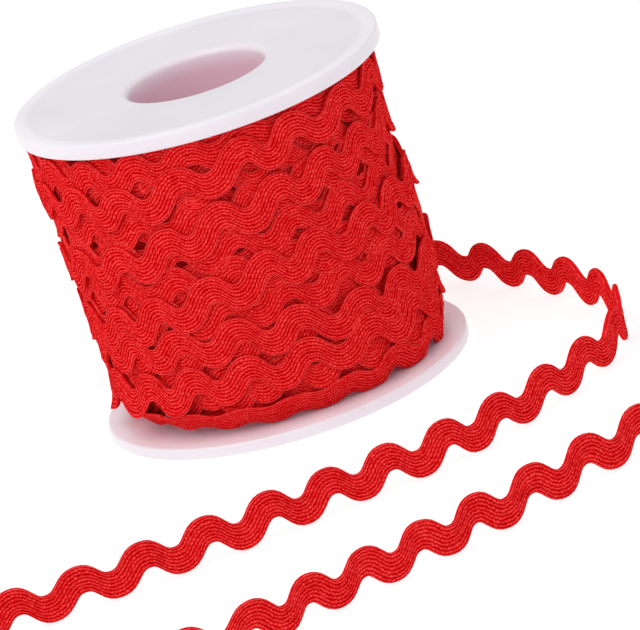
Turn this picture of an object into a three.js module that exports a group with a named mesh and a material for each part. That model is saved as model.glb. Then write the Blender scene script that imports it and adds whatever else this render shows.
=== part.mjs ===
// A roll of ric rac: a moulded plastic spool, the zigzag trim wound on it, and the trim's loose end.
// Millimetres, +Z up. The origin is on the floor, under the middle of the spool that stands there.

import * as THREE from 'three';

// Spool
const HEIGHT = 56;
const FLANGE_RADIUS = 31;
const LOWER_FLANGE_THICKNESS = 2;
const UPPER_FLANGE_THICKNESS = 2.6;
const RIM_INNER_RADIUS = 28.5;
const RECESS_DEPTH = 0.3;
const BORE_RADIUS = 11.9;
const CORE_RADIUS = 14;
const EDGE_ROUND = 0.4;
const BORE_ROUND = 0.5;
const CORE_FILLET = 0.5;
const SPOOL_STEPS = 60;
const ARC_STEPS = 2;

// Trim: one woven band whose centre line swings in a wave. The band leans with the wave's slope, and
// by a fixed angle besides, as its zigzag is cut a little askew.
const BAND_WIDTH = 4.75;
const BAND_THICKNESS = 1;
const WAVE_HEIGHT = 1.65;
const TAIL_WAVE_HEIGHT = 1.48;
const BAND_LEAN = 0.35;
const BAND_SKEW = 11.5;
const STEPS_PER_WAVE = 8;

// Winding
const GAP = 0.3;
const WAVES_PER_TURN = 17;
const WINDING_BOTTOM_RADIUS = 28.1;
const WINDING_TOP_RADIUS = 30.1;
const TURN_RELIEF = 1.2;
const GROOVE_SLOPE = 0.15;
const TILT_ANGLE = -84;

// Outer turns of the winding, from the bottom: the height of the centre line, how far the turn tilts,
// the angle of one crest, the wave's height and the band's width.
const TURNS = [
  { z: 4.9, tilt: 0, crest: -100, wave: 0.8, width: 3 },
  { z: 10.6, tilt: 0.3, crest: -100, wave: WAVE_HEIGHT, width: BAND_WIDTH },
  { z: 16.7, tilt: 0, crest: -100, wave: WAVE_HEIGHT, width: BAND_WIDTH },
  { z: 26.4, tilt: 1.5, crest: -84, wave: WAVE_HEIGHT, width: BAND_WIDTH },
  { z: 37, tilt: 2.5, crest: -73, wave: WAVE_HEIGHT, width: BAND_WIDTH },
  { z: 47, tilt: 1.2, crest: -80, wave: WAVE_HEIGHT, width: BAND_WIDTH },
];

// The loose end leaves the lowest turns at the back, stands on its edge on the floor, passes in front
// of the spool twice and ends in a plain cut. Each point is x, y and the height of the centre line.
const TAIL_ROUTE = [
  [-10, 27.9, 6.4],
  [-1.5, 30.6, 6.4],
  [8, 32.7, 6],
  [17, 32.9, 4.6],
  [25, 30.4, 4.1],
  [31.5, 25, 4.1],
  [37.5, 17, 4.1],
  [43.6, 7, 4.1],
  [49, -3, 4.1],
  [53, -13.5, 4.1],
  [55, -23.5, 4.1],
  [54, -33, 4.1],
  [50, -41, 4.1],
  [40.5, -51.5, 4.1],
  [31, -59, 4.1],
  [21.5, -64.5, 4.1],
  [3, -69.8, 4.1],
  [-17, -75, 4.1],
  [-38.5, -79.8, 4.1],
  [-54, -82.2, 4.1],
  [-66, -86.5, 4.1],
  [-73.9, -96.8, 4.1],
  [-74.2, -109.5, 4.1],
  [-67, -119.8, 4.1],
  [-54.8, -124.2, 4.1],
  [-41, -124.1, 4.1],
  [-28, -121.8, 4.1],
  [-14.6, -118, 4.1],
  [5, -109.5, 4.1],
  [23.2, -101.3, 4.1],
  [42, -90.3, 4.1],
  [62, -76.5, 4.1],
];

// How many waves lie before each distance along the loose end, which is stretched here and there
const TAIL_WAVES = [
  [0, -4],
  [42.7, 0],
  [89.8, 4],
  [122.3, 6.9],
  [152, 9.66],
  [187, 13.11],
  [222, 16.33],
  [338.4, 27.05],
  [352, 28.4],
  [381, 31.27],
  [410, 33.88],
  [435, 36.2],
];

const PLASTIC = { color: 0xe9e2e9, roughness: 0.35, metalness: 0 };
const WOVEN_RED = { color: 0xd01f21, roughness: 0.85, metalness: 0 };

const radians = THREE.MathUtils.degToRad;

// A mesh from points and triangles, with its own material.
function solid(name, points, triangles, finish) {
  const geometry = new THREE.BufferGeometry();
  geometry.setAttribute('position', new THREE.Float32BufferAttribute(points.flat(), 3));
  geometry.setIndex(triangles.flat());
  geometry.computeVertexNormals();
  const mesh = new THREE.Mesh(geometry, new THREE.MeshStandardMaterial(finish));
  mesh.name = name;
  return mesh;
}

// Two triangles for the quad a, b, c, d.
function quad(a, b, c, d) {
  return [[a, b, c], [a, c, d]];
}

// Arc points in the profile plane, with the angles in degrees.
function arc(r, z, radius, from, to) {
  return Array.from({ length: ARC_STEPS + 1 }, (_, i) => {
    const angle = radians(from + ((to - from) * i) / ARC_STEPS);
    return [r + radius * Math.cos(angle), z + radius * Math.sin(angle)];
  });
}

// One flange in profile, from the bore's edge round the rim to the foot of the core.
function flangeProfile(thickness) {
  const fillet = arc(CORE_RADIUS + CORE_FILLET, thickness + CORE_FILLET, CORE_FILLET, 270, 180);
  return [
    ...arc(BORE_RADIUS + BORE_ROUND, RECESS_DEPTH + BORE_ROUND, BORE_ROUND, 180, 270),
    [RIM_INNER_RADIUS - RECESS_DEPTH, RECESS_DEPTH],
    [RIM_INNER_RADIUS + RECESS_DEPTH / 2, 0],
    ...arc(FLANGE_RADIUS - EDGE_ROUND, EDGE_ROUND, EDGE_ROUND, 270, 360),
    ...arc(FLANGE_RADIUS - EDGE_ROUND, thickness - EDGE_ROUND, EDGE_ROUND, 0, 90),
    ...fillet,
  ];
}

// A closed ring of sections: every section is a closed list of points, the same count in each.
function ring(name, sections, finish) {
  const count = sections[0].length;
  const triangles = [];
  sections.forEach((section, i) => {
    const next = (i + 1) % sections.length;
    for (let j = 0; j < count; j += 1) {
      const k = (j + 1) % count;
      triangles.push(...quad(i * count + j, next * count + j, next * count + k, i * count + k));
    }
  });
  return solid(name, sections.flat(), triangles, finish);
}

// A point at an angle in degrees round the spool's axis.
function around(angle, radius, z) {
  return [radius * Math.cos(radians(angle)), radius * Math.sin(radians(angle)), z];
}

// Two flanges with raised rims and a hollow core, moulded in one.
function spool() {
  const lower = flangeProfile(LOWER_FLANGE_THICKNESS);
  const upper = flangeProfile(UPPER_FLANGE_THICKNESS).map(([r, z]) => [r, HEIGHT - z]).reverse();
  const profile = [...lower, ...upper];
  const sections = Array.from({ length: SPOOL_STEPS }, (_, i) => {
    const angle = (360 * i) / SPOOL_STEPS;
    return profile.map(([r, z]) => around(angle, r, z));
  });
  return ring('spool', sections, PLASTIC);
}

// The winding swells soon above the lower flange, then less and less towards the upper one.
function windingRadius(z) {
  const swell = 1 - (1 - z / HEIGHT) ** 2;
  return THREE.MathUtils.lerp(WINDING_BOTTOM_RADIUS, WINDING_TOP_RADIUS, swell);
}

// The points of one turn of trim at an angle: groove, lower edge, upper edge, groove.
function turnPoints(turn, angle) {
  const wave = Math.cos(radians(WAVES_PER_TURN * (angle - turn.crest)));
  const centre = turn.z + turn.tilt * Math.sin(radians(angle - TILT_ANGLE)) + turn.wave * wave;
  const low = centre - turn.width / 2;
  const high = centre + turn.width / 2;
  return [
    [windingRadius(low) - TURN_RELIEF, low - GROOVE_SLOPE],
    [windingRadius(low), low],
    [windingRadius(high), high],
    [windingRadius(high) - TURN_RELIEF, high + GROOVE_SLOPE],
  ];
}

// The wound trim as one solid round the core, its outer turns raised in their waves.
function winding() {
  const bottom = LOWER_FLANGE_THICKNESS + GAP;
  const top = HEIGHT - UPPER_FLANGE_THICKNESS - GAP;
  const inner = CORE_RADIUS + CORE_FILLET + GAP;
  const steps = WAVES_PER_TURN * STEPS_PER_WAVE;
  const sections = Array.from({ length: steps }, (_, i) => {
    const angle = (360 * i) / steps;
    const profile = [
      [inner, bottom],
      [windingRadius(bottom) - TURN_RELIEF, bottom],
      ...TURNS.flatMap((turn) => turnPoints(turn, angle)),
      [windingRadius(top) - TURN_RELIEF, top],
      [inner, top],
    ];
    return profile.map(([r, z]) => around(angle, r, z));
  });
  return ring('winding', sections, WOVEN_RED);
}

// The stretch of TAIL_WAVES that a distance lies in.
function tailStretch(distance) {
  const next = TAIL_WAVES.findIndex(([end], i) => i > 0 && distance <= end);
  return [TAIL_WAVES[next - 1], TAIL_WAVES[next]];
}

// The four corners of the band at a share of the way along the loose end.
function tailSection(route, share, length) {
  const distance = share * length;
  const centre = route.getPointAt(share);
  const along = route.getTangentAt(share).setZ(0).normalize();
  const side = new THREE.Vector3(along.y, -along.x, 0).multiplyScalar(BAND_THICKNESS / 2);
  const [[start, before], [end, after]] = tailStretch(distance);
  const rate = (2 * Math.PI * (after - before)) / (end - start);
  const phase = 2 * Math.PI * before + rate * (distance - start);
  const slope = -TAIL_WAVE_HEIGHT * rate * Math.sin(phase);
  const lean = BAND_LEAN * Math.atan(slope) - radians(BAND_SKEW);
  centre.z += TAIL_WAVE_HEIGHT * Math.cos(phase);
  const across = new THREE.Vector3(0, 0, Math.cos(lean)).addScaledVector(along, -Math.sin(lean));
  across.multiplyScalar(BAND_WIDTH / 2);
  const corners = [[1, -1], [1, 1], [-1, 1], [-1, -1]];
  return corners.map(([s, a]) => {
    const corner = centre.clone().addScaledVector(side, s).addScaledVector(across, a);
    return corner.toArray();
  });
}

// The loose end: the same wavy band, standing on its edge.
function tail() {
  const points = TAIL_ROUTE.map(([x, y, z]) => new THREE.Vector3(x, y, z));
  const route = new THREE.CatmullRomCurve3(points, false, 'catmullrom', 0.5);
  route.arcLengthDivisions = 2000;
  const length = route.getLength();
  const waves = TAIL_WAVES.at(-1)[1] - TAIL_WAVES[0][1];
  const steps = Math.round(waves * STEPS_PER_WAVE);
  const shares = Array.from({ length: steps + 1 }, (_, i) => i / steps);
  const sections = shares.map((share) => tailSection(route, share, length));
  const triangles = [...quad(0, 1, 2, 3)];
  for (let i = 0; i < steps; i += 1) {
    for (let j = 0; j < 4; j += 1) {
      const k = (j + 1) % 4;
      triangles.push(...quad(4 * i + j, 4 * (i + 1) + j, 4 * (i + 1) + k, 4 * i + k));
    }
  }
  const last = 4 * steps;
  triangles.push(...quad(last + 3, last + 2, last + 1, last));
  return solid('tail', sections.flat(), triangles, WOVEN_RED);
}

const roll = new THREE.Group();
roll.add(spool(), winding(), tail());

export default roll;
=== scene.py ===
# A roll of ric rac: the woven trim as it is wound and as it lies, and the moulded spool.

import math

import bpy
import numpy as np
from mathutils import Matrix, Vector


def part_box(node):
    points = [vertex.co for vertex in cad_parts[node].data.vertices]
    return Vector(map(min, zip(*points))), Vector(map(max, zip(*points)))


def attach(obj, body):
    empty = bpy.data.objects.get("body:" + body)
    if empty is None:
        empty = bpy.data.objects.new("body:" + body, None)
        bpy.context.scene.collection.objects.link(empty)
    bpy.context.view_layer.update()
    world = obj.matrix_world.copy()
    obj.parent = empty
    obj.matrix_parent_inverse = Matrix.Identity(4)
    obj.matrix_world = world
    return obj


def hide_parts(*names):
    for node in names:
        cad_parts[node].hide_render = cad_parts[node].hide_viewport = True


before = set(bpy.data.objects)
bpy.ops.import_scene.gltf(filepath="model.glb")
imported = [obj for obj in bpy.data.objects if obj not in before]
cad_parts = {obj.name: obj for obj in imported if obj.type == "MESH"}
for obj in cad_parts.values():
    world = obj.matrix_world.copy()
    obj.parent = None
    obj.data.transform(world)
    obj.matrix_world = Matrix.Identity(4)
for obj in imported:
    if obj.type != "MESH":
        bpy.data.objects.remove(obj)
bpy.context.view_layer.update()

# Lengths below are in millimetres and angles in degrees. METRE turns millimetres into metres.
METRE = 0.001
BODY = "root"

# The spool, as its solid has it, but for the bore's lip, which is a little rounder here
FLANGE_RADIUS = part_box("spool")[1][0] / METRE
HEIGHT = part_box("spool")[1][2] / METRE
LOWER_FLANGE = 2.0
UPPER_FLANGE = 2.6
RIM_INNER_RADIUS = 28.5
RECESS_DEPTH = 0.3
CORE_RADIUS = 14.0
CORE_FILLET = 0.5
EDGE_ROUND = 0.4
BORE_RADIUS = 11.7
BORE_ROUND = 1.2
SPOOL_STEPS = 192
# The soft step from the recessed face up to the rim: places across it and the share of depth left
RIM_SLOPE = [(-0.7, 1), (-0.4, 0.93), (-0.1, 0.6), (0.2, 0.3), (0.5, 0.07), (0.9, 0)]

# The trim: a band of ribs between two smooth edge cords. Heights are from the band's middle plane.
BAND_WIDTH = 4.75
EDGE_CORD = 0.28
RIDGES = 9
RIDGE_HEIGHT = 0.4
GROOVE_HEIGHT = 0.27
# A flat back has four lines along it. These are their ridge numbers.
BACK_HEIGHT = 0.2
BACK_INSET = 0.2
BACK_RIDGES = [RIDGES - 0.5, 7, 3, 0.5]
# How far one layer of it lifts the next
BAND_THICKNESS = 0.62
# Its centre line swings in a wave. The band leans with a share of the wave's slope, and by a fixed
# angle besides, as its zigzag is cut a little askew.
BAND_LEAN = 0.35
BAND_SKEW = 11.5
CREST_ROUND = 0.06
STEPS_PER_WAVE = 16
# How the ribs rise and stray, as wander takes it: steps between new values, how far, how softly
RIB_RISE = (2, 0.12, 0.8)
RIB_STRAY = (5, 0.22, 1.5)

# The loose end's route, as the solid has it: x, y and the height of the centre line
TAIL_ROUTE = [
    (-10, 27.9, 6.4),
    (-1.5, 30.6, 6.4),
    (8, 32.7, 6),
    (17, 32.9, 4.6),
    (25, 30.4, 4.1),
    (31.5, 25, 4.1),
    (37.5, 17, 4.1),
    (43.6, 7, 4.1),
    (49, -3, 4.1),
    (53, -13.5, 4.1),
    (55, -23.5, 4.1),
    (54, -33, 4.1),
    (50, -41, 4.1),
    (40.5, -51.5, 4.1),
    (31, -59, 4.1),
    (21.5, -64.5, 4.1),
    (3, -69.8, 4.1),
    (-17, -75, 4.1),
    (-38.5, -79.8, 4.1),
    (-54, -82.2, 4.1),
    (-66, -86.5, 4.1),
    (-73.9, -96.8, 4.1),
    (-74.2, -109.5, 4.1),
    (-67, -119.8, 4.1),
    (-54.8, -124.2, 4.1),
    (-41, -124.1, 4.1),
    (-28, -121.8, 4.1),
    (-14.6, -118, 4.1),
    (5, -109.5, 4.1),
    (23.2, -101.3, 4.1),
    (42, -90.3, 4.1),
    (62, -76.5, 4.1),
]
TAIL_WAVE = 1.48
FLOOR_CLEARANCE = 0.05
ROUTE_STEPS = 40
TAIL_SECTIONS = 40 * STEPS_PER_WAVE
TAIL_RIB_STEPS = 4
TAIL_SEED = 8
# The band tips a little to either side as it goes: by how much, and over what length for a radian
TIP_ANGLE = 4
TIP_REACH = 23
# How its waves drift along it and in height, as wander takes it
TAIL_DRIFT = (12, 0.03, 4)
TAIL_WAVE_DRIFT = (10, 0.1, 4)
# How many waves lie before each distance: the trim is stretched a little here and there
TAIL_WAVES = [
    (0, -4),
    (42.7, 0),
    (89.8, 4),
    (122.3, 6.9),
    (152, 9.66),
    (187, 13.11),
    (222, 16.33),
    (338.4, 27.05),
    (352, 28.4),
    (381, 31.27),
    (410, 33.88),
    (435, 36.2),
]

# The outer turns as one run of trim from the loose end to the top: the angle round the spool, the
# height of the centre line and the count of waves. The front of the roll is at -84.
OUTER_TURNS = [
    (-250, 6.4, -7),
    (-200, 8.6, -4.65),
    (-141, 10.4, -2),
    (-122, 11.2, -1),
    (-101.5, 11.9, 0),
    (-81, 11.8, 1),
    (-57, 11.5, 2),
    (0, 11.6, 4.7),
    (96, 14.2, 9.2),
    (180, 17.4, 13.2),
    (237.5, 18.3, 16),
    (259, 18.6, 17),
    (279.5, 17.9, 18),
    (303, 15.6, 19),
    (320, 15.8, 20),
    (400, 16.6, 23.5),
    (470, 19.4, 26.8),
    (530, 21.4, 29.8),
    (576, 22.3, 32),
    (593, 24.2, 33),
    (614, 26.4, 34),
    (634, 28.3, 35),
    (652, 29.3, 36),
    (674, 28.1, 37),
    (690, 29.8, 38),
    (760, 29.4, 41),
    (830, 30.0, 44.3),
    (890, 31.0, 47.2),
    (945.5, 33.5, 50),
    (965, 35.7, 51),
    (984, 38.8, 52),
    (1005, 39.9, 53),
    (1023, 41.0, 54),
    (1041, 41.3, 55),
    (1110, 40.6, 58),
    (1180, 41.3, 61.3),
    (1240, 43.0, 64.2),
    (1297, 44.9, 67),
    (1314, 43.4, 68),
    (1334.5, 45.9, 69),
    (1357, 48.1, 70),
    (1374.5, 48.9, 71),
    (1420, 48.6, 73),
    (1500, 49.0, 76.8),
]
OUTER_SEED = 3
OUTER_SOFTNESS = 7
OUTER_RIB_STEPS = 5
OUTER_WAVE_DRIFT = (12, 0.07, 4)
# How far the tips of the waves stand off the roll: at most, and how much more a few of them do
OUTER_FLARE = (0.12, 0.18)
# How far round from its start the run is drawn out to meet the loose end
START_REACH = 14
# Where the outer turns stand off the roll: the angle along the run and how far
LOOSE_TIPS = [(-181, 1.1), (173, 0.4), (362, 0.4), (540, 0.3), (723, 0.4), (1077, 0.3)]
LOOSE_REACH = 9

# The turn that the lower flange presses inwards, and the one under the upper flange: the angle
# round the spool, the height of the centre line, the count of waves, how far they swing and the
# angle by which the band leans inwards
FOOT_TURN = [
    (-225, 5.8, 0, 1.5, 20),
    (-190, 5.5, 1.6, 0.9, 38),
    (-150, 5.5, 3.65, 0.4, 44),
    (-126, 5.1, 5, 0.4, 40),
    (-108, 4.6, 6, 0.4, 36),
    (-89, 4.4, 7, 0.4, 32),
    (-70, 4.3, 8, 0.4, 28),
    (-52, 4.5, 8.9, 1.3, 12),
    (-10, 5.2, 10.8, 1.5, 8),
    (140, 5.8, 18.0, 1.5, 15),
]
HEAD_TURN = [
    (-200, 48.8, -0.25, 1.5, 0),
    (-155, 48.7, 2, 1.5, 0),
    (-137, 49.0, 3, 1.5, -3),
    (-118, 49.2, 4, 1.4, -3),
    (-109, 50.2, 4.5, 1.3, -6),
    (-100, 50.5, 5, 1.2, -9),
    (-80, 50.8, 6, 0.7, -12),
    (-20, 50.9, 8.9, 0.7, -12),
    (165, 50.8, 17.6, 0.6, -12),
]
FOOT_SEED = 10
HEAD_SEED = 9
END_SOFTNESS = 6
END_RIB_STEPS = 3
END_FLARE = (0.2, 0.3)
# The lean from which a turn lies flat on what is under it
FULL_PRESS = 45

# The turns under them: how high the run starts and ends, turns, mean wave angle and seed
UNDER_RUNS = [
    {"name": "winding_deep", "low": 8.6, "high": 50.0, "turns": 14.5, "wave": 21.3, "seed": 11},
    {"name": "winding_under", "low": 49.4, "high": 9.6, "turns": 8.4, "wave": 20.8, "seed": 5},
]
UNDER_RIB_STEPS = 2
UNDER_FLARE = (0.3, 0.3)
# How much lower and higher than its ends such a run may stray
UNDER_LOW_SLACK = 0.3
UNDER_HIGH_SLACK = 0.2
# How many turns it stays at the height of each end
DWELL = 0.8
# How it drifts in height, in stretch and in the waves' height, as wander takes it
UNDER_DRIFT = (55, 1.3, 12)
UNDER_STRETCH = (55, 0.06, 8)
UNDER_WAVE_DRIFT = (12, 0.1, 4)

# The winding's outline, and how far the centre line swings to either side
WINDING_LOW = 2.2
WINDING_HIGH = HEIGHT - 2.8
WINDING_BOTTOM_RADIUS = 28.1
WINDING_TOP_RADIUS = 30.1
WINDING_WAVE = 1.6
WAVES_PER_TURN = 17
DEGREE_STEP = 360 / WAVES_PER_TURN / STEPS_PER_WAVE
# The share of the waves' tips that stand off further, and how the band curls towards a tip
FLARED_SHARE = 0.12
CURL_POWER = 1.3
# How a run rests on what is under it: places tried across each third of it, how many steps along it
# the highest spot holds it up and how softly, the same for a turn pressed flat, and how far its
# middle may sag
PROBES = 5
HOLD_REACH = 3
HOLD_SOFTNESS = 4
PRESSED_REACH = 2
PRESSED_SOFTNESS = 12
MIDDLE_SAG = 0.1

# The drum that the turns are laid on, and the closed core a little inside it
DRUM_DEPTH = 2.7
DRUM_SHOULDER = 5.0
DRUM_LOW_TUCK = 3.0
DRUM_HIGH_TUCK = 0.8
DRUM_CLEARANCE = 1.0
CORE_CLEARANCE = 0.5
DRUM_STEPS = 96
DRUM_RINGS = 24
# Lumps in the drum: angle, height, reach round the roll, reach up and down it, and how far out
LUMPS = [
    (180, 44, 75, 16, 0.8),
    (-165, 5, 45, 4, -1.3),
    (-27, 4, 30, 4, 1.9),
    (180, 16, 60, 4, -0.5),
    (0, 23, 32, 3.4, 1.4),
    (0, 31, 45, 5, -1.9),
    (0, 14, 30, 4, -0.8),
    (0, 50, 70, 9, -1.6),
]

# The weave's look. The stitches' pitch, and how they slant, drift and vary from stitch to stitch
STITCH_PITCH = 0.55
STITCH_SLANT = 0.5
STITCH_DRIFT = 1.1
SPECK_GAIN = 2.4
SPECK_BASE = -0.5
# How far the grooves stray, how high the edge cords stand and how light their painted highlight is,
# how much of the relief the ribs make up and how far the colour drifts
RIDGE_STRAY = 0.9
EDGE_RELIEF_AND_HIGHLIGHT = 0.8
RIB_SHARE = 0.62
CLOUD_REACH = 0.4

# The plastic's look. The colour of the bore's lip and the painted pink shade of its wall, how deep
# down the wall's painted shade is full, and how far off the wall these colours start and are full
BORE_LIP_TINT = (0.88, 0.82, 0.86, 1)
BORE_WALL_SHADE = (0.81, 0.55, 0.64, 1)
BORE_SHADE_DEPTH = 4.3
LIP_FADE_START = 0.8
LIP_FADE_END = 0.02
# How wide the edge of the raised rim's painted highlight fades, and how much lighter the painted
# highlight makes the rim
RIM_FADE = 1.0
RIM_HIGHLIGHT = 0.35


def lerp(a, b, share):
    """The value at a share of the way from a to b."""
    return a + (b - a) * share


def smooth(values, width):
    """Values along a run, softened by a bell of that many steps."""
    reach = int(3 * width)
    steps = np.arange(-reach, reach + 1)
    bell = np.exp(-0.5 * (steps / width) ** 2)
    padded = np.pad(values, reach, mode="edge")
    return np.convolve(padded, bell / bell.sum(), mode="valid")


def widest(values, reach):
    """The largest value within reach steps on either side."""
    padded = np.pad(values, reach, mode="edge")
    return np.max([padded[i : i + len(values)] for i in range(2 * reach + 1)], axis=0)


def wave(waves):
    """The swing of the centre line from -1 to 1, a little rounder at its crests than a cosine."""
    turn = 2 * math.pi * waves
    return (np.cos(turn) - CREST_ROUND * np.cos(3 * turn)) / (1 - CREST_ROUND)


def wander(generator, length, every, reach, width):
    """A smooth random line of that length, with a new value at every so many steps."""
    knots = int(length / every) + 2
    places = np.linspace(0, length, knots)
    values = generator.uniform(-reach, reach, knots)
    return smooth(np.interp(np.arange(length), places, values), width)


# Camera


def make_camera():
    """A long lens that looks down on the front and is rolled, so the spool leans to the right."""
    elevation = math.radians(17.9)
    tilt = math.radians(-17.0)
    distance = 1172 * METRE
    target = Vector((8.0, 0, 9.5)) * METRE
    back = Vector((0, -math.cos(elevation), math.sin(elevation)))
    right = Vector((1, 0, 0))
    up = back.cross(right)
    tilted_right = right * math.cos(tilt) + up * math.sin(tilt)
    tilted_up = up * math.cos(tilt) - right * math.sin(tilt)
    camera = bpy.data.objects.new("camera", bpy.data.cameras.new("camera"))
    turned = Matrix((tilted_right, tilted_up, back)).transposed().to_4x4()
    camera.matrix_world = Matrix.Translation(target + back * distance) @ turned
    camera.data.lens = 397.3
    camera.data.sensor_width = 36
    camera.data.clip_end = 20
    bpy.context.collection.objects.link(camera)
    bpy.context.scene.camera = camera


# Meshes


def make_piece(name, points, faces, coordinates, material):
    """A smooth mesh of points in millimetres, with one pair of weave coordinates a face corner."""
    mesh = bpy.data.meshes.new(name)
    mesh.from_pydata((points * METRE).tolist(), [], faces)
    mesh.shade_smooth()
    if coordinates is not None:
        layer = mesh.uv_layers.new(name="weave")
        layer.data.foreach_set("uv", np.asarray(coordinates, dtype=np.float32).ravel())
    mesh.materials.append(material)
    piece = bpy.data.objects.new(name, mesh)
    bpy.context.collection.objects.link(piece)
    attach(piece, BODY)
    return piece


def band_section(samples, ribbed_back):
    """The band's outline: places across from the centre line, heights, and ridge numbers."""
    half = BAND_WIDTH / 2
    bounds = np.r_[-half, np.linspace(EDGE_CORD - half, half - EDGE_CORD, RIDGES - 1), half]
    across, height, ridge = [], [], []
    for k in range(RIDGES):
        for share in np.arange(samples) / samples:
            across.append(lerp(bounds[k], bounds[k + 1], share))
            rise = math.sqrt(1 - (2 * share - 1) ** 2)
            outer = (k == 0 and share < 0.5) or (k == RIDGES - 1 and share > 0.5)
            foot = 0 if outer else GROOVE_HEIGHT
            height.append(lerp(foot, RIDGE_HEIGHT, rise))
            ridge.append(k + share)
    across.append(half)
    height.append(0)
    ridge.append(RIDGES)
    if ribbed_back:
        back_across = across[-2:0:-1]
        back_height = [-h for h in height[-2:0:-1]]
        back_ridge = ridge[-2:0:-1]
    else:
        back_across = [half - BACK_INSET, half / 3, -half / 3, BACK_INSET - half]
        back_height = [-BACK_HEIGHT] * len(BACK_RIDGES)
        back_ridge = BACK_RIDGES
    return (
        np.array(across + back_across),
        np.array(height + back_height),
        np.array(ridge + back_ridge + [0]),
    )


def uneven(generator, count, places, heights, ridge):
    """The band's outline for each section, as the ribs rise, sink and stray along the band."""
    rises = np.array([wander(generator, count, *RIB_RISE) for _ in range(RIDGES + 1)])
    stray = wander(generator, count, *RIB_STRAY)[:, None]
    ribbed = np.where(np.abs(heights) > BACK_HEIGHT, np.sign(heights), 0)
    heights = heights + ribbed * rises[ridge[:-1].astype(int)].T
    places = places + stray * (1 - (2 * places / BAND_WIDTH) ** 2)
    return places, heights


def band_piece(name, grid, distance, ridge, material):
    """A band as a closed mesh from a grid of points: sections along it, points round each."""
    count, around = grid.shape[:2]
    i, j = np.meshgrid(np.arange(count - 1), np.arange(around), indexing="ij")
    k = (j + 1) % around
    corners = [i * around + j, (i + 1) * around + j, (i + 1) * around + k, i * around + k]
    faces = np.stack(corners, axis=-1).reshape(-1, 4).tolist()
    near, far = distance[i], distance[i + 1]
    low, high = ridge[j], ridge[j + 1]
    pairs = [(near, low), (far, low), (far, high), (near, high)]
    coordinates = np.stack([np.stack(pair, axis=-1) for pair in pairs], axis=-2).reshape(-1, 2)
    ends = [list(range(around)), list(range(count * around - 1, (count - 1) * around - 1, -1))]
    end_distance = [distance[0]] * around + [distance[-1]] * around
    end_ridge = list(ridge[:-1]) + list(ridge[-2::-1])
    coordinates = np.vstack([coordinates, np.column_stack([end_distance, end_ridge])])
    return make_piece(name, grid.reshape(-1, 3), faces + ends, coordinates, material)


# The loose end


def rounded_route(points, steps):
    """A smooth line through the points, each stretch cut in steps."""
    points = np.array(points, dtype=float)
    padded = np.vstack([2 * points[0] - points[1], points, 2 * points[-1] - points[-2]])
    share = np.arange(steps)[:, None] / steps
    line = []
    for before, start, end, after in zip(padded, padded[1:], padded[2:], padded[3:]):
        leave = (end - before) / 2
        arrive = (after - start) / 2
        cubic = 2 * start - 2 * end + leave + arrive
        square = 3 * end - 3 * start - 2 * leave - arrive
        line.append(((cubic * share + square) * share + leave) * share + start)
    return np.vstack(line + [points[-1:]])


def evenly_spaced(line, count):
    """The line again with count points at even distances, and those distances."""
    lengths = np.r_[0, np.cumsum(np.linalg.norm(np.diff(line, axis=0), axis=1))]
    distance = np.linspace(0, lengths[-1], count)
    return np.column_stack([np.interp(distance, lengths, line[:, n]) for n in range(3)]), distance


def make_tail(material):
    """The trim's loose end on its edge on the floor."""
    generator = np.random.default_rng(TAIL_SEED)
    line, distance = evenly_spaced(rounded_route(TAIL_ROUTE, ROUTE_STEPS), TAIL_SECTIONS)
    count = len(line)
    waves = np.interp(distance, *zip(*TAIL_WAVES)) + wander(generator, count, *TAIL_DRIFT)
    height = TAIL_WAVE * (1 + wander(generator, count, *TAIL_WAVE_DRIFT))
    swing = height * wave(waves)
    along = np.gradient(line, axis=0) * (1, 1, 0)
    along /= np.linalg.norm(along, axis=1)[:, None]
    side = np.column_stack([along[:, 1], -along[:, 0], np.zeros(count)])
    lean = BAND_LEAN * np.arctan(np.gradient(swing, distance)) - math.radians(BAND_SKEW)
    tip = np.radians(TIP_ANGLE * np.sin(distance / TIP_REACH))
    upright = np.column_stack([np.zeros((count, 2)), np.ones(count)])
    across = upright * np.cos(lean)[:, None] - along * np.sin(lean)[:, None]
    across = across * np.cos(tip)[:, None] + side * np.sin(tip)[:, None]
    out = np.cross(along, across)
    centre = line + upright * swing[:, None] + side * (np.sin(tip) * swing)[:, None]
    places, heights, ridge = band_section(TAIL_RIB_STEPS, ribbed_back=True)
    places, heights = uneven(generator, count, places, heights, ridge)
    grid = centre[:, None] + across[:, None] * places[..., None] + out[:, None] * heights[..., None]
    grid[:, :, 2] = np.maximum(grid[:, :, 2], FLOOR_CLEARANCE)
    tail = band_piece("tail_trim", grid, distance, ridge, material)
    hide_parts("tail")


# The winding


def winding_radius(z):
    """The winding swells soon above the lower flange, then less and less towards the upper one."""
    return lerp(WINDING_BOTTOM_RADIUS, WINDING_TOP_RADIUS, 1 - (1 - z / HEIGHT) ** 2)


def drum_radius(z):
    """The drum draws in towards the lower flange, and a little towards the upper one."""
    low = np.clip(1 - (z - WINDING_LOW) / DRUM_SHOULDER, 0, 1)
    high = np.clip(1 - (WINDING_HIGH - z) / DRUM_SHOULDER, 0, 1)
    return winding_radius(z) - DRUM_DEPTH - DRUM_LOW_TUCK * low - DRUM_HIGH_TUCK * high


def lumps(angle, z):
    """How far the drum stands out of round, where more trim lies under the outer turns."""
    total = 0 * angle + 0 * z
    for lump_angle, lump_z, spread, rise, out in LUMPS:
        apart = (angle - lump_angle + 180) % 360 - 180
        total = total + out * np.exp(-((apart / spread) ** 2) - ((z - lump_z) / rise) ** 2)
    return total


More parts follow.
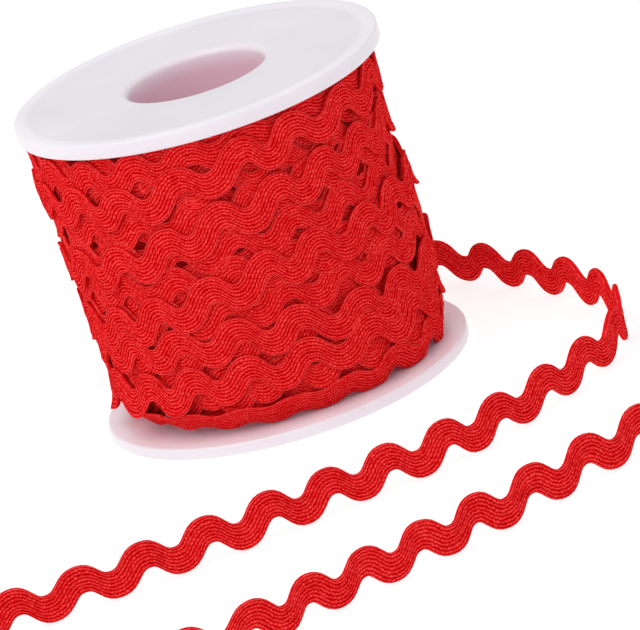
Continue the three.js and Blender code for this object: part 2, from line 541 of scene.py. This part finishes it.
class Roll:
    """How far out the winding has grown, by angle and height, while turns are laid on it."""

    ANGLE_STEP = 1.25
    HEIGHT_STEP = 0.4

    def __init__(self):
        self.angles = int(360 / self.ANGLE_STEP)
        heights = np.arange(0, HEIGHT + self.HEIGHT_STEP, self.HEIGHT_STEP)
        angles = np.arange(self.angles)[:, None] * self.ANGLE_STEP
        self.radius = drum_radius(heights) + lumps(angles, heights)

    def cells(self, angle, z):
        """The rows and columns of the map that those spots lie in."""
        row = np.floor(angle / self.ANGLE_STEP).astype(int) % self.angles
        column = np.clip((z / self.HEIGHT_STEP).astype(int), 0, self.radius.shape[1] - 1)
        return row, column

    def under(self, angle, z):
        """How far out the winding stands at those spots."""
        return self.radius[self.cells(angle, z)]

    def cover(self, angle, z, radius):
        """Adds a band whose outside lies at those spots."""
        for shift in (-0.5, 0, 0.5):
            np.maximum.at(self.radius, self.cells(angle + shift * self.ANGLE_STEP, z), radius)


def resting_radii(held, tuck):
    """The radii of a run's low edge, middle and high edge, where it rests on what holds it up."""
    half = BAND_WIDTH / 2
    thirds = np.split(held, 3, axis=1)
    highest = [smooth(widest(third.max(axis=1), HOLD_REACH), HOLD_SOFTNESS) for third in thirds]
    low, middle, high = highest
    middle = np.maximum(middle, (low + high) / 2 - MIDDLE_SAG)
    leaning = np.sin(np.radians(tuck)) * half * np.ones(len(held))
    pressed = np.minimum(np.abs(tuck) / FULL_PRESS, 1)
    pivot = np.maximum(np.maximum(low + leaning, middle), high - leaning)
    pivot = lerp(pivot, smooth(widest(pivot, PRESSED_REACH), PRESSED_SOFTNESS), pressed)
    low = lerp(low, pivot - leaning, pressed)
    middle = lerp(middle, pivot, pressed)
    high = lerp(high, pivot + leaning, pressed)
    return low, middle, high


def tip_curl(waves, x):
    """The share of its flare that each place across the band takes, all of it at a wave's tip."""
    crest = np.cos(2 * math.pi * waves)[:, None]
    upper = np.maximum(crest, 0) ** 2 * np.maximum(x, 0) ** CURL_POWER
    lower = np.maximum(-crest, 0) ** 2 * np.maximum(-x, 0) ** CURL_POWER
    return upper + lower


def lay_turns(
    roll, name, angle, z, waves, height, rib_steps, flare, material, start_radius=None, tuck=0
):
    """Winds one run of trim on the roll, resting on what is there, and makes its mesh."""
    mean_radius = winding_radius(z)
    upright = np.cos(np.radians(tuck) * np.ones(len(z)))[:, None]
    distance = np.cumsum(np.radians(np.gradient(angle)) * mean_radius)
    swing = height * wave(waves)
    lean = BAND_LEAN * np.arctan(np.gradient(swing, distance)) + math.radians(BAND_SKEW)
    half = BAND_WIDTH / 2

    def spot(place):
        turn = np.degrees(np.sin(lean)[:, None] * place / mean_radius[:, None])
        level = z[:, None] + upright * (swing[:, None] + np.cos(lean)[:, None] * place)
        return angle[:, None] - turn, np.clip(level, WINDING_LOW, WINDING_HIGH)

    probes = np.linspace(-half, half, 3 * PROBES)
    low, middle, high = resting_radii(roll.under(*spot(probes)), tuck)
    if start_radius is not None:
        near = np.exp(-((angle - angle[0]) / START_REACH) ** 2)
        lift = (start_radius - BACK_HEIGHT - middle[0]) * near
        low, middle, high = low + lift, middle + lift, high + lift

    def base(place):
        x = place / half
        tilt = ((high - low) / 2)[:, None]
        bow = ((high + low) / 2 - middle)[:, None]
        return middle[:, None] + tilt * x + bow * x**2

    roll.cover(*spot(probes), base(probes) + BAND_THICKNESS)
    places, heights, ridge = band_section(rib_steps, ribbed_back=False)
    # Each run's length is the seed for its ribs
    places, heights = uneven(np.random.default_rng(len(z)), len(z), places, heights, ridge)
    curl = flare[:, None] * tip_curl(waves, places / half)
    radius = base(places) + BACK_HEIGHT + heights + curl
    turned, level = spot(places)
    turned = np.radians(turned)
    grid = np.stack([radius * np.cos(turned), radius * np.sin(turned), level], axis=-1)
    return band_piece(name, grid, distance, ridge, material)


def flares(waves, generator, usual, more):
    """How far the tips of the waves stand off the roll: a little each, and a few of them more."""
    first = int(np.floor(2 * waves.min())) - 1
    tips = generator.uniform(0, usual, int(2 * (waves.max() - waves.min())) + 5)
    tips = np.where(generator.random(len(tips)) < FLARED_SHARE, tips + more, tips)
    return np.interp(2 * waves - first, np.arange(len(tips)), tips)


def make_under_run(roll, run, material):
    """A run of turns that mostly shows through the gaps of those above it."""
    generator = np.random.default_rng(run["seed"])
    angle = np.arange(0, 360 * run["turns"], DEGREE_STEP)
    count = len(angle)
    share = np.clip((angle / 360 - DWELL) / (run["turns"] - 2 * DWELL), 0, 1)
    z = lerp(run["low"], run["high"], share) + wander(generator, count, *UNDER_DRIFT)
    lowest = min(run["low"], run["high"]) - UNDER_LOW_SLACK
    highest = max(run["low"], run["high"]) + UNDER_HIGH_SLACK
    z = np.clip(z, lowest, highest)
    stretch = 1 + wander(generator, count, *UNDER_STRETCH)
    waves = np.cumsum(DEGREE_STEP / run["wave"] * stretch) + generator.random()
    height = WINDING_WAVE * (1 + wander(generator, count, *UNDER_WAVE_DRIFT))
    angle = angle + 360 * generator.random()
    flare = flares(waves, generator, *UNDER_FLARE)
    lay_turns(roll, run["name"], angle, z, waves, height, UNDER_RIB_STEPS, flare, material)


def make_end_turn(roll, name, turn, seed, material):
    """One turn against a flange."""
    generator = np.random.default_rng(seed)
    knots = np.array(turn, dtype=float)
    angle = np.arange(knots[0, 0], knots[-1, 0], DEGREE_STEP)
    columns = [np.interp(angle, knots[:, 0], column) for column in knots.T[1:]]
    z, waves, height, tuck = [smooth(column, END_SOFTNESS) for column in columns]
    flare = flares(waves, generator, *END_FLARE)
    lay_turns(roll, name, angle, z, waves, height, END_RIB_STEPS, flare, material, tuck=tuck)


def make_outer_turns(roll, material):
    """The turns on the outside of the roll. They lead into the loose end."""
    generator = np.random.default_rng(OUTER_SEED)
    knots = np.array(OUTER_TURNS, dtype=float)
    angle = np.arange(knots[0, 0], knots[-1, 0], DEGREE_STEP)
    z = smooth(np.interp(angle, knots[:, 0], knots[:, 1]), OUTER_SOFTNESS)
    waves = np.interp(angle, knots[:, 0], knots[:, 2])
    height = WINDING_WAVE * (1 + wander(generator, len(angle), *OUTER_WAVE_DRIFT))
    flare = flares(waves, generator, *OUTER_FLARE)
    for place, reach in LOOSE_TIPS:
        flare = flare + reach * np.exp(-(((angle - place) / LOOSE_REACH) ** 2))
    outer = lay_turns(
        roll,
        "winding_outer",
        angle,
        z,
        waves,
        height,
        OUTER_RIB_STEPS,
        flare,
        material,
        start_radius=math.hypot(*TAIL_ROUTE[0][:2]),
    )
    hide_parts("winding")


def make_drum(material):
    """The shaded inside of the winding, which only shows down the deepest gaps."""
    inner = CORE_RADIUS + CORE_CLEARANCE
    heights = np.linspace(WINDING_LOW, WINDING_HIGH, DRUM_RINGS)
    wall = [(drum_radius(z) - DRUM_CLEARANCE, z) for z in heights]
    profile = [(inner, WINDING_LOW), *wall, (inner, WINDING_HIGH)]
    revolve("winding_core", profile, DRUM_STEPS, material)


def revolve(name, profile, steps, material):
    """A closed profile of radii and heights, turned round the spool's axis."""
    angle = np.linspace(0, 2 * math.pi, steps, endpoint=False)
    profile = np.array(profile)
    grid = np.empty((steps, len(profile), 3))
    grid[:, :, 0] = np.cos(angle)[:, None] * profile[:, 0]
    grid[:, :, 1] = np.sin(angle)[:, None] * profile[:, 0]
    grid[:, :, 2] = profile[:, 1]
    count, around = grid.shape[:2]
    i, j = np.meshgrid(np.arange(count), np.arange(around), indexing="ij")
    h, k = (i + 1) % count, (j + 1) % around
    corners = [i * around + j, h * around + j, h * around + k, i * around + k]
    faces = np.stack(corners, axis=-1).reshape(-1, 4).tolist()
    return make_piece(name, grid.reshape(-1, 3), faces, None, material)


# The spool


def arc(r, z, radius, start, end, steps=6):
    """Points on an arc round a centre in the profile plane."""
    angles = np.radians(np.linspace(start, end, steps + 1))
    return [(r + radius * math.cos(a), z + radius * math.sin(a)) for a in angles]


def flange_profile(thickness):
    """From the bore's edge over the recessed face and the rim to the foot of the core."""
    rim = [(RIM_INNER_RADIUS + place, RECESS_DEPTH * share) for place, share in RIM_SLOPE]
    return [
        *arc(BORE_RADIUS + BORE_ROUND, RECESS_DEPTH + BORE_ROUND, BORE_ROUND, 180, 270),
        *rim,
        *arc(FLANGE_RADIUS - EDGE_ROUND, EDGE_ROUND, EDGE_ROUND, 270, 360),
        *arc(FLANGE_RADIUS - EDGE_ROUND, thickness - EDGE_ROUND, EDGE_ROUND, 0, 90),
        *arc(CORE_RADIUS + CORE_FILLET, thickness + CORE_FILLET, CORE_FILLET, 270, 180, 3),
    ]


def make_spool(material):
    """Two flanges with raised rims and a hollow core, moulded in one."""
    upper = [(r, HEIGHT - z) for r, z in reversed(flange_profile(UPPER_FLANGE))]
    profile = flange_profile(LOWER_FLANGE) + upper
    spool = revolve("spool_moulding", profile, SPOOL_STEPS, material)
    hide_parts("spool")


# Materials


class Nodes:
    """Small helper that adds shader nodes to one material and links them."""

    def __init__(self, name):
        self.material = bpy.data.materials.new(name)
        self.material.use_nodes = True
        self.tree = self.material.node_tree
        self.shader = self.tree.nodes["Principled BSDF"]

    def add(self, kind, **settings):
        """A new node with those settings."""
        node = self.tree.nodes.new(kind)
        for key, value in settings.items():
            setattr(node, key, value)
        return node

    def feed(self, socket, value):
        """Links a socket to another node's output, or sets it to a plain value."""
        if isinstance(value, bpy.types.NodeSocket):
            self.tree.links.new(value, socket)
        else:
            socket.default_value = value

    def feed_all(self, node, values):
        """Feeds the node's sockets by their names."""
        for name, value in values.items():
            self.feed(node.inputs[name], value)

    def math(self, operation, *values):
        """One step of arithmetic."""
        node = self.add("ShaderNodeMath", operation=operation)
        for socket, value in zip(node.inputs, values):
            self.feed(socket, value)
        return node.outputs[0]

    def noise(self, coordinates, scale, detail=2):
        """Cloudy noise around a half."""
        node = self.add("ShaderNodeTexNoise")
        self.feed_all(node, {"Vector": coordinates, "Scale": scale, "Detail": detail})
        return node.outputs["Fac"]

    def stray(self, noise, reach):
        """Noise that swings around nought."""
        return self.math("MULTIPLY", self.math("SUBTRACT", noise, 0.5), reach)

    def split(self, vector):
        """The three parts of a vector."""
        node = self.add("ShaderNodeSeparateXYZ")
        self.feed(node.inputs[0], vector)
        return node.outputs

    def fade(self, value, start, end):
        """A soft step from 0, where the value is start, to 1, where it is end. Both are in mm."""
        node = self.add("ShaderNodeMapRange", interpolation_type="SMOOTHSTEP")
        self.feed_all(node, {"Value": value, "From Min": start * METRE, "From Max": end * METRE})
        return node.outputs["Result"]

    def mix(self, factor, first, second):
        """A colour between two."""
        node = self.add("ShaderNodeMix", data_type="RGBA")
        self.feed_all(node, {"Factor": factor, "A": first, "B": second})
        return node.outputs["Result"]

    def ramp(self, value, stops):
        """The colour at a value, between stops of places and colours."""
        node = self.add("ShaderNodeValToRGB")
        self.feed(node.inputs[0], value)
        elements = node.color_ramp.elements
        while len(elements) < len(stops):
            elements.new(0.5)
        for element, (place, colour) in zip(elements, stops):
            element.position = place
            element.color = (*colour, 1)
        return node.outputs["Color"]

    def bump(self, height, strength, distance):
        """Small relief on the surface."""
        node = self.add("ShaderNodeBump")
        self.feed_all(node, {"Height": height, "Strength": strength, "Distance": distance})
        self.feed(self.shader.inputs["Normal"], node.outputs["Normal"])


def stitch_beads(n, place, along, ridge, off_crest):
    """Rows of stitches along the ribs. They slant one way in every other rib, half a stitch on."""
    number = n.math("FLOOR", ridge)
    odd = n.math("MODULO", number, 2)
    slope = n.math("MULTIPLY_ADD", odd, -2 * STITCH_SLANT, STITCH_SLANT)
    slant = n.math("MULTIPLY", off_crest, slope)
    shifted = n.math("ADD", n.math("DIVIDE", along, STITCH_PITCH), n.math("MULTIPLY", number, 0.5))
    drift = n.math("MULTIPLY", n.noise(place, scale=420, detail=1), STITCH_DRIFT)
    shifted = n.math("ADD", shifted, drift)
    stitch = n.math("MULTIPLY", n.math("ADD", shifted, slant), 2 * math.pi)
    bead = n.math("MULTIPLY_ADD", n.math("COSINE", stitch), 0.5, 0.5)
    speck = n.math("MULTIPLY_ADD", n.noise(place, scale=1500, detail=1), SPECK_GAIN, SPECK_BASE)
    return n.math("MULTIPLY", bead, speck)


def woven_material():
    """Red woven trim: ribs of slanting stitches between grooves, with smooth edge cords. Grooves get
    painted shade; stitch tops and edge cords get painted highlight.
    """
    n = Nodes("woven_trim")
    along, straight, _ = n.split(n.add("ShaderNodeUVMap", uv_map="weave").outputs["UV"])
    place = n.add("ShaderNodeTexCoord").outputs["Object"]
    ridge = n.math("ADD", straight, n.stray(n.noise(place, scale=1600, detail=1), RIDGE_STRAY))
    off_crest = n.math("SUBTRACT", n.math("FRACT", ridge), 0.5)
    across = n.math("COSINE", n.math("MULTIPLY", off_crest, 2 * math.pi))
    rise = n.math("MULTIPLY_ADD", across, 0.5, 0.5)

    bead = stitch_beads(n, place, along, ridge, off_crest)
    inside = n.math("COMPARE", ridge, RIDGES / 2, RIDGES / 2 - 1)
    edge = n.math("MULTIPLY", n.math("SUBTRACT", 1, inside), EDGE_RELIEF_AND_HIGHLIGHT)
    beads = n.math("ADD", n.math("MULTIPLY", bead, inside), edge)
    ribs = n.math("MULTIPLY", rise, RIB_SHARE)
    height = n.math("ADD", ribs, n.math("MULTIPLY", beads, 1 - RIB_SHARE))
    n.bump(height, strength=0.8, distance=0.16 * METRE)

    cloud = n.stray(n.noise(place, scale=600, detail=3), CLOUD_REACH)
    # The colour follows the relief: painted shade, dark red, in the grooves and pits between
    # stitches, and painted highlight, paler red, on the stitch tops and edge cords; the cloud is
    # random tone
    colour = n.ramp(
        n.math("ADD", height, cloud),
        [
            (0.05, (0.46, 0.000, 0.002)),
            (0.32, (0.70, 0.006, 0.008)),
            (0.62, (0.88, 0.023, 0.025)),
            (0.95, (1.0, 0.090, 0.090)),
        ],
    )
    n.feed_all(n.shader, {"Base Color": colour, "Roughness": 0.55, "Specular IOR Level": 0.0})
    return n.material


def core_material():
    """The shaded inside of the winding, with the faint lines of the turns down there. It glows a
    little, painted light that lifts its shade.
    """
    n = Nodes("trim_in_shade")
    place = n.add("ShaderNodeTexCoord").outputs["Object"]
    lines = n.add("ShaderNodeTexWave", bands_direction="Z")
    look = {"Scale": 590, "Distortion": 9, "Detail": 1, "Detail Scale": 0.4}
    n.feed_all(lines, {"Vector": place, **look})
    ribs = lines.outputs["Fac"]
    colour = n.ramp(ribs, [(0.2, (0.35, 0.0, 0.002)), (0.8, (0.95, 0.012, 0.020))])
    n.bump(ribs, strength=0.6, distance=0.3 * METRE)
    surface = {"Base Color": colour, "Roughness": 0.9, "Specular IOR Level": 0.0}
    # Painted light: the core glows in its own colour to lift it out of its shade
    n.feed_all(n.shader, {**surface, "Emission Color": colour, "Emission Strength": 0.13})
    return n.material


def plastic_material():
    """White plastic, a little clear. The wall of the bore has painted pink shade that deepens down
    it, and the raised rims a painted highlight.
    """
    n = Nodes("spool_plastic")
    place = n.add("ShaderNodeTexCoord").outputs["Object"]
    x, y, z = n.split(place)
    radius = n.math("SQRT", n.math("ADD", n.math("MULTIPLY", x, x), n.math("MULTIPLY", y, y)))
    off_middle = n.math("ABSOLUTE", n.math("SUBTRACT", z, HEIGHT / 2 * METRE))
    # Painted shade in the bore: its wall turns a darker pink further down, full at BORE_SHADE_DEPTH
    depth = n.fade(off_middle, HEIGHT / 2 - RECESS_DEPTH, HEIGHT / 2 - BORE_SHADE_DEPTH)
    bore = n.mix(depth, BORE_LIP_TINT, BORE_WALL_SHADE)
    in_bore = n.fade(radius, BORE_RADIUS + LIP_FADE_START, BORE_RADIUS + LIP_FADE_END)

    # Painted highlight: the top of the raised rim is painted lighter than the face
    rim = n.fade(radius, RIM_INNER_RADIUS - RIM_FADE, RIM_INNER_RADIUS + RIM_FADE)
    on_face = n.math("LESS_THAN", radius, (FLANGE_RADIUS - EDGE_ROUND / 2) * METRE)
    rim_highlight = n.math("MULTIPLY", rim, on_face)
    shell = n.ramp(
        n.math("MULTIPLY_ADD", rim_highlight, RIM_HIGHLIGHT, n.noise(place, scale=55)),
        [(0.3, (0.80, 0.755, 0.82)), (0.65, (0.84, 0.80, 0.86)), (0.95, (0.91, 0.87, 0.94))],
    )
    n.bump(n.noise(place, scale=1400), strength=0.12, distance=0.05 * METRE)
    surface = {
        "Base Color": n.mix(in_bore, shell, bore),
        "Roughness": 0.38,
        "Subsurface Weight": 0.35,
        "Subsurface Radius": (1.0, 0.8, 0.9),
        "Subsurface Scale": 2.5 * METRE,
        "Coat Weight": 0.15,
        "Coat Roughness": 0.2,
    }
    n.feed_all(n.shader, surface)
    return n.material


# Stage


def make_stage():
    """A white floor, a white room and one broad soft light from the upper left, in metres."""
    reach = 4
    floor_mesh = bpy.data.meshes.new("floor")
    corners = [(-reach, -reach, 0), (reach, -reach, 0), (reach, reach, 0), (-reach, reach, 0)]
    floor_mesh.from_pydata(corners, [], [(0, 1, 2, 3)])
    floor = bpy.data.objects.new("floor", floor_mesh)
    pale = Nodes("pale_floor")
    surface = {"Base Color": (0.33, 0.33, 0.33, 1), "Roughness": 0.9, "Specular IOR Level": 0.1}
    glow = {"Emission Color": (1, 1, 1, 1), "Emission Strength": 0.77}
    pale.feed_all(pale.shader, {**surface, **glow})
    floor_mesh.materials.append(pale.material)
    bpy.context.collection.objects.link(floor)

    world = bpy.data.worlds.new("room")
    world.use_nodes = True
    background = world.node_tree.nodes["Background"]
    background.inputs["Color"].default_value = (1, 1, 1, 1)
    background.inputs["Strength"].default_value = 0.72
    bpy.context.scene.world = world

    add_light("key", Vector((-0.4, -0.45, 0.85)), Vector((0, 0, 0.03)), size=0.9, power=4.2)
    bpy.context.scene.view_settings.view_transform = "Standard"


def add_light(name, place, aim, size, power):
    """A square light that looks at a point."""
    light = bpy.data.lights.new(name, "AREA")
    light.size = size
    light.energy = power
    lamp = bpy.data.objects.new(name, light)
    lamp.location = place
    lamp.rotation_euler = (aim - place).to_track_quat("-Z", "Y").to_euler()
    bpy.context.collection.objects.link(lamp)


make_camera()
woven = woven_material()
make_tail(woven)

roll = Roll()
make_drum(core_material())
for run in UNDER_RUNS:
    make_under_run(roll, run, woven)
make_end_turn(roll, "winding_foot", FOOT_TURN, FOOT_SEED, woven)
make_end_turn(roll, "winding_head", HEAD_TURN, HEAD_SEED, woven)
make_outer_turns(roll, woven)

make_spool(plastic_material())
make_stage()
